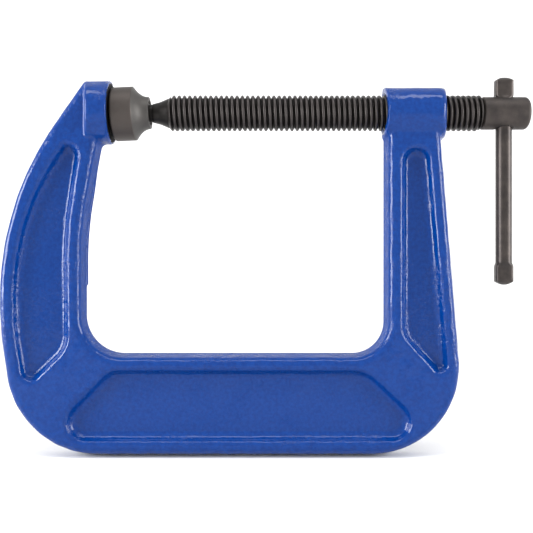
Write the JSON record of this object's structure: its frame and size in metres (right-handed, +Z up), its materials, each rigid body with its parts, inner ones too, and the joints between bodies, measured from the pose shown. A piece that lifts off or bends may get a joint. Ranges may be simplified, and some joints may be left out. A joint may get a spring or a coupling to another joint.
{
  "type": "c clamp",
  "caption": "Deep-throat C clamp with a cast frame, threaded screw, swivel pad and sliding tommy bar, drawn fully closed.",
  "frame": {"origin": "middle of the foot: centre of the whole object's box in X and Y, at the bottom of the frame's bar", "axes": "+X along the screw from the anvil towards the tommy bar, +Y through the flange to the back, +Z up from the bottom bar to the screw"},
  "size_m": [0.2326, 0.0274, 0.1663],
  "materials": {
    "frame_enamel": "glossy blue enamel over the casting's skin, bare on the machined anvil face",
    "screw_steel": "black oxide with a film of oil",
    "pad_steel": "brownish grey oxide",
    "bar_steel": "brownish grey oxide"
  },
  "bodies": {
    "frame": {"frame": "frame_enamel"},
    "swivel_pad": {"swivel_pad": "pad_steel"},
    "screw": {"screw": "screw_steel"},
    "tommy_bar": {"tommy_bar": "bar_steel"}
  },
  "joints": [
    {"name": "pad_travel", "type": "slide", "parent": "frame", "child": "swivel_pad", "axis": [1, 0, 0], "range_m": [0, 0.1024]},
    {"name": "screw_turn", "type": "hinge", "parent": "swivel_pad", "child": "screw", "pos_m": [-0.05445, 0, 0.1505], "axis": [1, 0, 0], "range_deg": [0, 15964]},
    {"name": "bar_slide", "type": "slide", "parent": "screw", "child": "tommy_bar", "axis": [0, 0, 1], "range_m": [0, 0.0599]}
  ],
  "couplings": [
    {"joint": "pad_travel", "follows": "screw_turn", "m_per_rad": 0.0003675}
  ]
}
